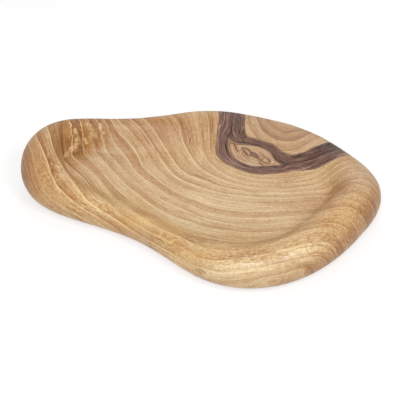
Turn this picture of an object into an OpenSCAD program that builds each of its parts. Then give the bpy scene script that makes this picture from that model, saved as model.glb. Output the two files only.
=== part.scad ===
// Free-form olive wood dish, carved from one slab: a pear-shaped hollow inside a thick rounded rim.
// A dark heartwood band with a knot in it crosses the back right of the slab from top to bottom.
// Millimetres. +X is right along the long axis, +Y is to the back, and the base rests on z = 0.

/* [Dish] */
// Overall length along X
dish_length = 180; // [150:1:230]
// Overall width along Y
dish_width = 115; // [95:1:145]
// Height of the highest part of the rim above the base
rim_height = 27.5; // [22:0.5:36]

/* [Rim] */
// Breadth of the rim roll, which the insets of the crest and of the base edge follow
roll_width = 22; // [14:0.5:26]

/* [Floor] */
// Thickness of the wood under the lowest place of the hollow
floor_thickness = 8; // [5:0.5:10]
// Rise of the floor from its lowest place to the ends of the dish
floor_rise = 5; // [0:0.5:6]

/* [Heartwood band] */
// Width of the band where its left arm leaves the back rim
band_width = 14.5; // [11:0.5:16]

/* [Knot] */
// Length of the pale eye
eye_length = 27; // [18:0.5:29]
// Width of the pale eye
eye_width = 12; // [7:0.5:13]
// Turn of the eye's long axis from the X axis, in degrees
eye_turn = -30; // [-40:1:-20]
// Length of the dark core
core_length = 5; // [2:0.25:7]
// Width of the dark core
core_width = 2.5; // [1.5:0.25:4]

/* [Hidden] */

// Fineness: points round the rim, steps of each stretch of the section, and points of the zones' outlines
rim_points = 96;
floor_steps = 8;
wall_steps = 8;
roll_steps = 7;
under_steps = 7;
border_points = 40;
core_points = 20;

// How far the cutting shapes run past the wood, above and below
overrun = 5;

// Stations round the rim, from the right end and counter-clockwise seen from above. Each row gives the
// place in plan (x, y), the rim's height, the crest's inset, the place of the foot of the wall on the way
// from the crest to the spine, the base edge's inset, the lengths of the handles that round the wall at
// its foot and at the crest, and the place on the spine that the section faces.
rim_shares = [
    [ 0.98,  0.00, 0.82, 0.50, 0.36, 0.45, 0.35, 0.75, 1.00],
    [ 0.83,  0.38, 0.74, 0.36, 0.52, 0.40, 0.60, 0.45, 1.00],
    [ 0.60,  0.75, 0.68, 0.24, 0.76, 0.35, 0.58, 0.32, 0.95],
    [ 0.26,  0.94, 0.72, 0.22, 0.80, 0.35, 0.56, 0.30, 0.80],
    [-0.02,  0.99, 0.78, 0.22, 0.80, 0.35, 0.58, 0.30, 0.60],
    [-0.38,  0.77, 0.86, 0.24, 0.62, 0.35, 0.62, 0.34, 0.30],
    [-0.68,  0.80, 0.94, 0.30, 0.29, 0.35, 0.28, 0.70, 0.00],
    [-0.93,  0.72, 1.00, 0.46, 0.36, 0.40, 0.26, 0.78, 0.00],
    [-1.05,  0.38, 0.96, 0.58, 0.52, 0.45, 0.28, 0.82, 0.00],
    [-0.95, -0.05, 0.76, 0.68, 0.56, 0.42, 0.36, 0.70, 0.00],
    [-0.66, -0.23, 0.56, 0.34, 0.66, 0.35, 0.55, 0.40, 0.00],
    [-0.32, -0.44, 0.52, 0.16, 0.62, 0.32, 0.62, 0.34, 0.40],
    [-0.06, -0.92, 0.58, 0.26, 0.58, 0.35, 0.65, 0.35, 0.80],
    [ 0.26, -1.05, 0.66, 0.38, 0.58, 0.40, 0.62, 0.40, 0.95],
    [ 0.60, -0.86, 0.80, 0.52, 0.42, 0.48, 0.40, 0.70, 1.00],
    [ 0.85, -0.38, 0.87, 0.55, 0.36, 0.50, 0.35, 0.75, 1.00]
];

// Ends of the spine that the sections face, the middle of the floor, and its lowest place
spine_shares = [[-0.62, 0.32], [0.35, 0.00]];
middle_share = [-0.10, 0.12];
lowest_share = [0.10, 0.00];

// Height at which the outer side is widest, as a share of the rim's height there
belly_share = 0.45;

// Handle length of a curve that rounds a quarter turn
round_share = 0.55;

// Middle line of the band from behind the back rim to past the right rim: place in plan, and width
band_shares = [
    [0.19, 1.30, 0.96],
    [0.19, 0.90, 0.94],
    [0.19, 0.78, 0.90],
    [0.18, 0.69, 1.02],
    [0.19, 0.61, 1.12],
    [0.22, 0.54, 1.19],
    [0.29, 0.49, 1.27],
    [0.36, 0.46, 1.22],
    [0.41, 0.43, 1.04],
    [0.46, 0.40, 0.74],
    [0.53, 0.39, 0.51],
    [0.60, 0.38, 0.62],
    [0.67, 0.38, 0.80],
    [0.735, 0.405, 0.88],
    [0.79, 0.44, 0.92],
    [1.12, 0.665, 0.92]
];

// Corner behind the dish that closes the outlines of the zones
corner_share = [1.30, 1.50];

// Middle of the eye in plan, and its outline as shares of its own half length and half width.
// A row that comes twice draws the outline to a point there.
eye_middle_share = [0.30, 0.51];
eye_shares = [
    [ 1.22,  0.22],
    [ 1.22,  0.22],
    [ 0.86,  0.36],
    [ 0.66,  0.80],
    [ 0.20,  0.98],
    [-0.35,  0.50],
    [-0.80,  0.18],
    [-1.10,  0.32],
    [-1.10,  0.32],
    [-0.94, -0.58],
    [-0.44, -1.08],
    [ 0.22, -1.10],
    [ 0.75, -0.30]
];

// Middle of the core, as shares of the eye's half length and half width
core_middle_share = [0.08, 0.06];

half_length = dish_length / 2;
half_width = dish_width / 2;

function in_plan(share) = [share[0] * half_length, share[1] * half_width];

function turned(p, angle) = [
    p[0] * cos(angle) - p[1] * sin(angle),
    p[0] * sin(angle) + p[1] * cos(angle)
];

// Smooth blend of four neighbouring rows of a table, t running from the second row to the third
function blend(a, b, c, d, t) =
    (pow(1 - t, 3) * a + (3 * pow(t, 3) - 6 * pow(t, 2) + 4) * b
        + (3 * t * (1 + t - pow(t, 2)) + 1) * c + pow(t, 3) * d) / 6;

function closed_row(table, u) =
    let (n = len(table), i = floor(u))
    blend(table[(i + n - 1) % n], table[i % n], table[(i + 1) % n], table[(i + 2) % n], u - i);

function open_row(table, u) =
    let (last = len(table) - 1, i = min(floor(u), last - 1))
    blend(table[max(i - 1, 0)], table[i], table[i + 1], table[min(i + 2, last)], u - i);

function closed_rows(table, count) =
    [for (k = [0 : count - 1]) closed_row(table, k * len(table) / count)];

function open_rows(table, count) =
    [for (k = [0 : count - 1]) open_row(table, k * (len(table) - 1) / (count - 1))];

function column(rows, k) = [for (row = rows) row[k]];

// Curve with two handles, t from 0 to 1
function curve(p, t) =
    pow(1 - t, 3) * p[0] + 3 * pow(1 - t, 2) * t * p[1] + 3 * (1 - t) * pow(t, 2) * p[2] + pow(t, 3) * p[3];

// The rim in plan, stretched to the overall length and width and centred on the origin
rim_rows = closed_rows(rim_shares, rim_points);
rim_x = column(rim_rows, 0);
rim_y = column(rim_rows, 1);
rim_top = max(column(rim_rows, 2));

function stretched(value, values, size) =
    (value - (max(values) + min(values)) / 2) / (max(values) - min(values)) * size;

rim_places = [for (row = rim_rows)
    [stretched(row[0], rim_x, dish_length), stretched(row[1], rim_y, dish_width)]];

// Way inwards from each place of the rim to the spine
rim_ways = [for (k = [0 : rim_points - 1])
    let (
        left = in_plan(spine_shares[0]),
        right = in_plan(spine_shares[1])
    )
    left + rim_rows[k][8] * (right - left) - rim_places[k]];

// Height of the hollow's floor, a shallow dip
function floor_height(p) =
    let (low = in_plan(lowest_share))
    floor_thickness + floor_rise
        * (pow((p[0] - low[0]) / half_length, 2) + pow((p[1] - low[1]) / half_width, 2));

function inside_rim(k, inset) = rim_places[k] + inset / norm(rim_ways[k]) * rim_ways[k];

function at_rim(k, p) = [each inside_rim(k, p[0]), p[1]];

// Section at one place of the rim as inset and height: up the wall, over the roll and under to the base
function section(k) =
    let (
        row = rim_rows[k],
        top = row[2] / rim_top * rim_height,
        crest = row[3] * roll_width,
        foot = crest + row[4] * (norm(rim_ways[k]) - crest),
        base = row[5] * roll_width,
        belly = belly_share * top,
        foot_handle = row[6] * (foot - crest),
        crest_handle = row[7] * (foot - crest),
        left_over = 1 - round_share,
        wall = [
            [foot, floor_height(inside_rim(k, foot))],
            [foot - foot_handle, floor_height(inside_rim(k, foot - foot_handle))],
            [crest + crest_handle, top],
            [crest, top]
        ],
        roll = [
            [crest, top],
            [crest * left_over, top],
            [0, belly + round_share * (top - belly)],
            [0, belly]
        ],
        under = [
            [0, belly],
            [0, belly * left_over],
            [base * left_over, 0],
            [base, 0]
        ]
    )
    [
        for (i = [0 : wall_steps - 1]) curve(wall, i / wall_steps),
        for (i = [0 : roll_steps - 1]) curve(roll, i / roll_steps),
        for (i = [0 : under_steps]) curve(under, i / under_steps)
    ];

// One line of points per place of the rim: out along the floor from its middle, then round the section
middle = in_plan(middle_share);

function floor_line(foot) = [for (i = [1 : floor_steps - 1])
    let (p = middle + i / floor_steps * (foot - middle))
    [each p, floor_height(p)]];

function dish_line(k) =
    let (path = section(k))
    concat(floor_line(inside_rim(k, path[0][0])), [for (p = path) at_rim(k, p)]);

line_points = floor_steps + wall_steps + roll_steps + under_steps;

module dish() {
    points = [
        for (k = [0 : rim_points - 1]) each dish_line(k),
        [each middle, floor_height(middle)],
        [each middle, 0]
    ];
    top_middle = rim_points * line_points;
    base_middle = top_middle + 1;
    faces = [for (k = [0 : rim_points - 1])
        let (a = k * line_points, b = (k + 1) % rim_points * line_points)
        each [
            [top_middle, b, a],
            for (i = [0 : line_points - 2]) each [[a + i, b + i + 1, a + i + 1], [a + i, b + i, b + i + 1]],
            [base_middle, a + line_points - 1, b + line_points - 1]
        ]
    ];
    polyhedron(points, faces);
}

// Borders of the band, on the two sides of its middle line
band_rows = open_rows(band_shares, border_points);
band_line = [for (row = band_rows) in_plan(row)];

function band_side(k) =
    let (way = band_line[min(k + 1, border_points - 1)] - band_line[max(k - 1, 0)])
    turned(way / norm(way), 90) * band_rows[k][2] * band_width / 2;

band_outer = [for (k = [0 : border_points - 1]) band_line[k] - band_side(k)];
band_inner = [for (k = [0 : border_points - 1]) band_line[k] + band_side(k)];
zone_corner = in_plan(corner_share);

// Outline of the eye in plan
eye_middle = in_plan(eye_middle_share);

function in_eye(share) =
    eye_middle + turned([share[0] * eye_length / 2, share[1] * eye_width / 2], eye_turn);

eye_outline = [for (row = closed_rows(eye_shares, border_points)) in_eye(row)];

// Outline of the core in plan, an oval along the eye
core_outline = [for (k = [0 : core_points - 1])
    let (
        angle = k * 360 / core_points,
        from_middle = [cos(angle) * core_length / 2, sin(angle) * core_width / 2]
    )
    in_eye(core_middle_share) + turned(from_middle, eye_turn)];

// Upright block over an outline, through the whole height of the wood
module zone(outline) {
    translate([0, 0, -overrun])
        linear_extrude(height = rim_height + 2 * overrun)
            polygon(outline);
}

module bowl_body() {
    color("#d2aa76") difference() {
        dish();
        zone(concat(band_outer, [zone_corner]));
    }
}

module heartwood_band() {
    color("#6e5450") difference() {
        intersection() {
            dish();
            zone(concat(band_outer, [for (k = [border_points - 1 : -1 : 0]) band_inner[k]]));
        }
        zone(eye_outline);
    }
}

module rear_rim_wood() {
    color("#b78f6c") intersection() {
        dish();
        zone(concat(band_inner, [zone_corner]));
    }
}

module knot_eye() {
    color("#bd9b78") difference() {
        intersection() {
            dish();
            zone(eye_outline);
        }
        zone(core_outline);
    }
}

module knot_core() {
    color("#8a6a55") intersection() {
        dish();
        zone(core_outline);
    }
}

bowl_body();
heartwood_band();
rear_rim_wood();
knot_eye();
knot_core();
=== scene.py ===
"""Looks of a free-form olive wood dish: one carved slab, shown as its five grown zones of wood."""
import math

import bmesh
import bpy
import numpy as np
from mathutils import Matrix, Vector, noise


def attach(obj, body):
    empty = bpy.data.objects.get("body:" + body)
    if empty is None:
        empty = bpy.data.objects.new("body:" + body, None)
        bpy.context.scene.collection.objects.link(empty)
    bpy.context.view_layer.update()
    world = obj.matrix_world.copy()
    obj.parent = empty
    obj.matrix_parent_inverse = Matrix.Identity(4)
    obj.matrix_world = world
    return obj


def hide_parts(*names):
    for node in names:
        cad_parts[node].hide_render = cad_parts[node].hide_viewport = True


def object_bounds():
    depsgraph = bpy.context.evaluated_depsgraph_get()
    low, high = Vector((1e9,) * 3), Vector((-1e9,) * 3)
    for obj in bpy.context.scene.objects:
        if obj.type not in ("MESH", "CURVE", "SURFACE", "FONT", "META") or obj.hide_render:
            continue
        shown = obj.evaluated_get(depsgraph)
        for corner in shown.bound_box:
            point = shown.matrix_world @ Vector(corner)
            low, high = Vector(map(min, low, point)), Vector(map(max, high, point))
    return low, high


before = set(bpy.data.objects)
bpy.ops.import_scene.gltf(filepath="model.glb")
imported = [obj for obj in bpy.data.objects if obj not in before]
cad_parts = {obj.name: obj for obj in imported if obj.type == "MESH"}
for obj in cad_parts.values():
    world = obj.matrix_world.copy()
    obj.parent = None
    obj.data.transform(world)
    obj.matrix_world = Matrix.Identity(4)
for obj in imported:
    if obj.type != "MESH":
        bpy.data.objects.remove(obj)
cad_low, cad_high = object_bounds()

# Sizes in metres; the overall ones come from the CAD box
HALF_LENGTH = (cad_high.x - cad_low.x) / 2
HALF_WIDTH = (cad_high.y - cad_low.y) / 2
RIM_HEIGHT = cad_high.z
ROLL_WIDTH = 0.022
FLOOR_THICKNESS = 0.008
FLOOR_RISE = 0.005
BAND_WIDTH = 0.0145
EYE_LENGTH, EYE_WIDTH, EYE_TURN = 0.027, 0.012, math.radians(-30)
CORE_LENGTH, CORE_WIDTH = 0.005, 0.0025
MM = 1000  # millimetres in a metre

# Small sizes: unevenness of the carving, depth of the knot's cracks, place and reach of the dent on the front
# side, and how far the cutting blocks stand out above and below the dish
CARVING = 0.0005
CRACK_DEPTH = 0.00022
DENT_PLACE, DENT_REACH = Vector((0.0008, -0.0502, 0.0092)), 0.005
BLOCK_MARGIN = 0.005

# Stations round the rim as shares, from the right end counter-clockwise: place, rim height, crest inset,
# foot of the wall on the way to the spine, base inset, handles of the wall at its foot and at the crest,
# place on the spine
RIM = [
    (0.98, 0.00, 0.82, 0.50, 0.36, 0.45, 0.35, 0.75, 1.00),
    (0.83, 0.38, 0.74, 0.36, 0.52, 0.40, 0.60, 0.45, 1.00),
    (0.60, 0.75, 0.68, 0.24, 0.76, 0.35, 0.58, 0.32, 0.95),
    (0.26, 0.94, 0.72, 0.22, 0.80, 0.35, 0.56, 0.30, 0.80),
    (-0.02, 0.99, 0.78, 0.22, 0.80, 0.35, 0.58, 0.30, 0.60),
    (-0.38, 0.77, 0.86, 0.24, 0.62, 0.35, 0.62, 0.34, 0.30),
    (-0.68, 0.80, 0.94, 0.30, 0.29, 0.35, 0.28, 0.70, 0.00),
    (-0.93, 0.72, 1.00, 0.46, 0.36, 0.40, 0.26, 0.78, 0.00),
    (-1.05, 0.38, 0.96, 0.58, 0.52, 0.45, 0.28, 0.82, 0.00),
    (-0.95, -0.05, 0.76, 0.68, 0.56, 0.42, 0.36, 0.70, 0.00),
    (-0.66, -0.23, 0.56, 0.34, 0.66, 0.35, 0.55, 0.40, 0.00),
    (-0.32, -0.44, 0.52, 0.16, 0.62, 0.32, 0.62, 0.34, 0.40),
    (-0.06, -0.92, 0.58, 0.26, 0.58, 0.35, 0.65, 0.35, 0.80),
    (0.26, -1.05, 0.66, 0.38, 0.58, 0.40, 0.62, 0.40, 0.95),
    (0.60, -0.86, 0.80, 0.52, 0.42, 0.48, 0.40, 0.70, 1.00),
    (0.85, -0.38, 0.87, 0.55, 0.36, 0.50, 0.35, 0.75, 1.00),
]
SPINE = ((-0.62, 0.32), (0.35, 0.00))
MIDDLE = (-0.10, 0.12)
LOWEST = (0.10, 0.00)
BELLY, ROUND = 0.45, 0.55

# The heartwood band's middle line and width as shares, and the outlines of the eye and the core
BAND = [
    (0.19, 1.30, 0.96), (0.19, 0.90, 0.94), (0.19, 0.78, 0.90), (0.18, 0.69, 1.02), (0.19, 0.61, 1.12),
    (0.22, 0.54, 1.19), (0.29, 0.49, 1.27), (0.36, 0.46, 1.22), (0.41, 0.43, 1.04), (0.46, 0.40, 0.74),
    (0.53, 0.39, 0.51), (0.60, 0.38, 0.62), (0.67, 0.38, 0.80), (0.735, 0.405, 0.88), (0.79, 0.44, 0.92),
    (1.12, 0.665, 0.92),
]
CORNER = (1.30, 1.50)
EYE_MIDDLE = (0.30, 0.51)
EYE = [
    (1.22, 0.22), (1.22, 0.22), (0.86, 0.36), (0.66, 0.80), (0.20, 0.98), (-0.35, 0.50),
    (-0.80, 0.18), (-1.10, 0.32), (-1.10, 0.32), (-0.94, -0.58), (-0.44, -1.08), (0.22, -1.10),
    (0.75, -0.30),
]
CORE_MIDDLE = (0.08, 0.06)

# Growth rings: the number of each ring line and places on it in plan, in millimetres
RINGS = [
    (0, [(8.7, 52), (9, 40), (9.5, 30), (14, 25), (20, 21.5), (27, 19), (34, 18.3), (45, 19), (60, 18),
         (75, 21)]),
    (1, [(3.3, 52), (4.5, 40), (5, 33), (8, 27), (14, 21), (22, 17), (32, 14.5), (45, 13.5), (60, 14),
         (76, 18)]),
    (2, [(-1, 51), (1, 43), (2, 36), (3.5, 30.5), (6.5, 25), (12, 19.5), (21, 14.5), (31, 12), (46, 11),
         (60, 11.5)]),
    (3, [(-14, 47.5), (-12, 43.5), (-10.5, 40), (-8.5, 35), (-5.5, 30), (-2, 25.5), (1, 21.5), (6, 18),
         (19, 11.5), (31, 8.5), (46, 7.5), (60, 8.5), (68.5, 9.5), (72.5, 10.5), (80.5, 12), (84, 10.5)]),
    (4, [(-28.5, 43.5), (-25, 40), (-21.5, 37.5), (-18, 33.5), (-15, 30), (-12, 25), (-9.5, 21),
         (-5.5, 17.5), (1, 14), (9, 10), (18, 7), (30, 5), (45, 4), (58, 5), (66, 3.5), (74, 3),
         (82, 4), (90, -1)]),
    (5, [(-34, 42.5), (-30, 39), (-25.5, 36), (-21.5, 31.5), (-19, 27), (-15.5, 21), (-12, 16.5),
         (-7, 13), (-1.5, 10.5), (6, 7), (14, 4.5), (24, 2.5), (36, 1.5), (50, 1.5), (62, 1), (70, -1),
         (80, -1), (90, -5)]),
    (6, [(-40, 38.5), (-37, 37.5), (-33, 35.5), (-29, 33.5), (-26, 30.5), (-24, 27), (-21.5, 23),
         (-18.5, 18.5), (-14, 14), (-8, 10), (-1, 6), (8, 2), (18, -0.5), (30, -2), (42, -2.5),
         (59, -3), (68, -5.5), (78, -5.5), (90, -9)]),
    (7, [(-44, 39.5), (-37, 36), (-33.5, 33), (-31.5, 30), (-29.5, 24), (-26, 19), (-22, 15.5),
         (-18, 11), (-13.5, 6.5), (-6.5, 2), (1.5, -2.5), (7, -5.5), (15.5, -8), (24, -10), (36, -10),
         (48, -9.5), (57, -8.5), (66, -10), (78, -9.5), (90, -13)]),
    (8, [(-46, 38), (-40, 33), (-36.5, 28), (-34, 22.5), (-30, 17), (-24.5, 11.5), (-18.5, 6),
         (-11, 0.5), (-3, -4.5), (5, -9), (14, -12), (25, -13), (38, -13), (47, -12.5), (57, -12),
         (66, -14), (75, -12.5), (85, -15), (90, -16.5)]),
    (9, [(-52, 40.5), (-50, 37.5), (-48, 34), (-45, 29.5), (-41, 23.5), (-37, 17.5), (-33, 12.5),
         (-27, 7), (-20, 1), (-12, -4.5), (-4, -9.5), (4, -14), (14, -17), (26, -18), (40, -17),
         (52, -16), (62, -18), (70, -17), (80, -18.5), (88, -21)]),
    (10, [(-57, 40), (-55, 38), (-53.7, 36), (-54, 34), (-50.5, 29), (-46, 23), (-42, 17), (-36, 9.5),
          (-31, 4), (-24, -3), (-17, -9.5), (-10.5, -14), (-4, -16), (4.5, -20.5), (13, -22.5),
          (24, -24.5), (36, -24), (46, -22.5), (59.5, -23.5), (69, -21), (75, -22), (79.5, -23.5),
          (87, -26)]),
    (11, [(-60.5, 39), (-58.5, 36.5), (-59, 34.5), (-60.5, 32.5), (-58.5, 29), (-56, 26), (-52, 21),
          (-47.5, 15), (-44, 9.5), (-39, 3.5), (-33, -2.5), (-29, -7), (-25, -11.5), (-19.5, -16),
          (-12, -23.5), (-5, -27), (4, -30), (14, -32.5), (26, -33), (40, -30), (50, -29.5),
          (60, -28.5), (69, -27.5), (73.5, -29), (81, -32.5)]),
    (12, [(-66.5, 38), (-64, 35.5), (-64, 33), (-65.5, 30.5), (-65.5, 28), (-60, 23.5), (-54, 18),
          (-49.5, 12), (-47, 7), (-44, 2), (-41, -3.5), (-37, -9), (-33, -14), (-28, -20), (-23, -25),
          (-15, -30.5), (-6, -36), (0, -40.5), (5, -42.5), (14, -44), (24, -44.5), (34, -42), (44, -38),
          (52, -35.5), (63, -34.5), (68, -36.5), (72, -39.5)]),
    (13, [(-71, 36), (-71.5, 31), (-69.5, 26), (-66, 22.5), (-62.5, 18.5), (-58.5, 14), (-55.5, 8.5),
          (-53, 3.5), (-51.5, 0), (-49, -4.5), (-45, -8.5), (-41.5, -12.5), (-39.5, -16), (-36.5, -19),
          (-26, -27), (-15, -35), (-6.5, -42), (0, -47.5), (7, -50), (18, -50), (26, -49), (36, -47),
          (45, -45), (52, -43.5), (63.5, -43), (70, -45)]),
    (14, [(-74.5, 28.5), (-72.5, 19), (-69.5, 13), (-65.5, 6.5), (-61.5, 0.5), (-57, -6),
          (-53.5, -10.5), (-47, -15.5), (-38, -22), (-28, -31), (-18, -39.5), (-8, -48), (2, -54),
          (14, -57), (28, -56.5), (42, -54), (54, -51), (64, -50.5), (72, -53)]),
    (15, [(-81, 24), (-77, 16.5), (-74.5, 10), (-72, 3.5), (-68.5, -3), (-63, -8.5), (-59, -12),
          (-50, -18.5), (-38, -28), (-26, -38), (-14, -48), (-4, -56), (8, -62), (26, -63.5), (44, -61),
          (60, -58), (72, -60)]),
    (16, [(-83.5, 17), (-82, 8.5), (-79.5, 0), (-75.5, -7), (-70.5, -11.5), (-64.5, -15),
          (-52.5, -21.5), (-40, -32), (-26, -45)]),
    (17, [(-90, 8), (-86, -4), (-81, -10), (-73, -15), (-61, -21), (-50, -28)]),
]
LAST_RING = 18.0

# How freely the rings may leave those places, and the share of the outer side's drop that is laid outwards
RING_SLACK = 30.0
SIDE_SHARE = 0.6

# The pith, the rear wood's distance from ring to ring, and the reaches at which angles round the pith and
# round the core become lengths, in millimetres
PITH = (47.0, 51.0)
REAR_RING = 4.3
PITH_REACH, CORE_REACH = 55.0, 6.0

# Depth of brown just inside and just outside each of the first 16 lines, and strength of the pale line there
RING_TONES = [
    (0.42, 0.34, 0.2), (0.46, 0.30, 0.4), (0.48, 0.30, 0.5), (0.52, 0.32, 0.8), (0.54, 0.26, 0.9),
    (0.56, 0.28, 0.9), (0.50, 0.34, 0.8), (0.30, 0.54, 0.7), (0.42, 0.28, 0.8), (0.48, 0.30, 0.7),
    (0.50, 0.28, 0.7), (0.36, 0.52, 0.7), (0.50, 0.28, 0.7), (0.54, 0.30, 0.8), (0.60, 0.32, 1.0),
    (0.66, 0.38, 1.0),
]

# A small dent on the front side and the cracks of the knot: places in plan and half widths, in millimetres
# The dent is not carved: its strokes are painted dark brown, as painted shade of the dent
MARK = [
    [(-3.2, -52.2, 0.15), (-2.8, -53.2, 0.28), (-2.2, -54.4, 0.32), (-1.3, -55.2, 0.15)],
    [(-2.0, -52.8, 0.15), (-1.1, -53.7, 0.22), (0.0, -54.4, 0.28), (1.0, -55.3, 0.22)],
]
CRACKS = [
    [(17.7, 35.7, 0.20), (18.3, 34.5, 0.36), (18.9, 33.2, 0.40), (19.9, 31.1, 0.12)],
    [(21.7, 33.0, 0.18), (23.5, 33.2, 0.24), (25.5, 31.8, 0.28), (27.1, 30.1, 0.22)],
    [(22.1, 32.7, 0.18), (23.2, 31.2, 0.32), (24.2, 29.6, 0.36), (25.8, 28.6, 0.24), (27.0, 28.9, 0.16)],
    [(30.6, 30.3, 0.10), (32.6, 28.6, 0.16), (34.1, 26.9, 0.18), (35.6, 25.9, 0.26), (36.2, 24.5, 0.28),
     (35.0, 24.1, 0.22)],
    [(35.0, 24.1, 0.24), (33.5, 24.3, 0.20), (31.5, 26.0, 0.22), (30.0, 27.2, 0.30), (28.8, 28.1, 0.22)],
    [(30.5, 25.0, 0.18), (31.5, 24.1, 0.26), (32.5, 23.1, 0.14)],
]

# Soft spots of the body in plan, in millimetres, from left to right: place, reach both ways and strength.
# They make the wood curly, calm, faint in its rings, speckled, golden, rosy, darker or polished, or less
# golden and lighter where the strength is below zero. Some darker and lighter spots are painted light:
# painted shade in the pocket's corner and along its foot, in the creases, on the outer sides of both ends and
# under the front, and, below zero, painted highlights on the front roll and the front-left roll and painted
# light over the creases' shade. Rosy spots on the outer edges also paint those edges' shade and haze of
# sheen. BAND_DARK is the same for the heartwood band, and FRINGE widens the dark border beside it.
FIGURE = [(-73.5, 31, 1.5, 1.5, 0.8), (-65, 33, 5, 5, 1.0), (-54, 37, 11, 3.5, 1.0)]
CALM = [
    (-80, 6, 12, 22, 0.4), (-58, 35, 12, 5, 0.8), (-56, -14, 22, 9, 0.7), (-34, -30, 15, 6, 0.9),
    (-32, 26, 26, 20, 0.7), (-14, -42, 20, 8, 0.6), (-14, -48, 14, 6, 0.9), (24, -52, 36, 10, 0.8),
    (38, -4, 30, 16, 0.4), (78, -12, 16, 34, 0.85),
]
FAINT = [
    (-90, 10, 6, 20, 0.6), (-34, -30, 15, 6, 0.95), (-14, -48, 14, 6, 0.95), (24, -52, 36, 10, 0.9),
    (46, -4, 24, 18, 0.65), (62, -50, 10, 8, 0.8), (78, -10, 16, 34, 0.85),
]
SPECKLE = [
    (-72, 8, 10, 16, 0.9), (-50, -12, 18, 8, 1.0), (-15, -36, 18, 7, 1.0), (18, -30, 34, 8, 0.4),
    (25, -48, 28, 8, 1.0), (56, -44, 14, 8, 0.5), (72, -20, 18, 26, 0.6),
]
GOLD = [
    (-78, 10, 10, 18, 0.5), (-67, 6, 5, 9, -0.3), (-61, 35, 9, 4.5, 0.9), (-60, -4, 18, 12, 0.7),
    (-47, 31, 12, 8, -0.55), (-46, -12, 12, 7, 0.3), (-41, -12, 7, 4, 0.45), (-30, 13, 13, 6, 0.2),
    (-30, -22, 15, 6, 1.0), (-29, -3, 9, 6, 0.5), (-26, -17, 9, 5, 0.45), (-13, -26, 10, 5, 0.5),
    (-12, -33, 10, 6, 0.9), (10, -44, 44, 8, 0.9), (18, -28, 14, 6, 0.4), (70, -28, 18, 13, 0.6),
    (76, -8, 12, 20, 0.4), (79, 2, 9, 13, -0.6),
]
# Rosier, darker wood; along the outer edges and under the front it is also painted shade and haze of sheen
ROSE = [
    (-88, 16, 10, 20, 0.9), (-64, 42, 18, 5, 0.5), (-35, -30, 13, 5, 0.7), (-22, -16, 10, 4, 0.55),
    (-14, -48, 12, 5, 0.7), (42, -64, 14, 5, 0.5), (68, -4, 6, 12, 0.85), (68, -52, 10, 6, 0.6),
    (79, -38, 10, 7, 0.7), (91, -20, 8, 10, 0.7),
]
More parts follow.
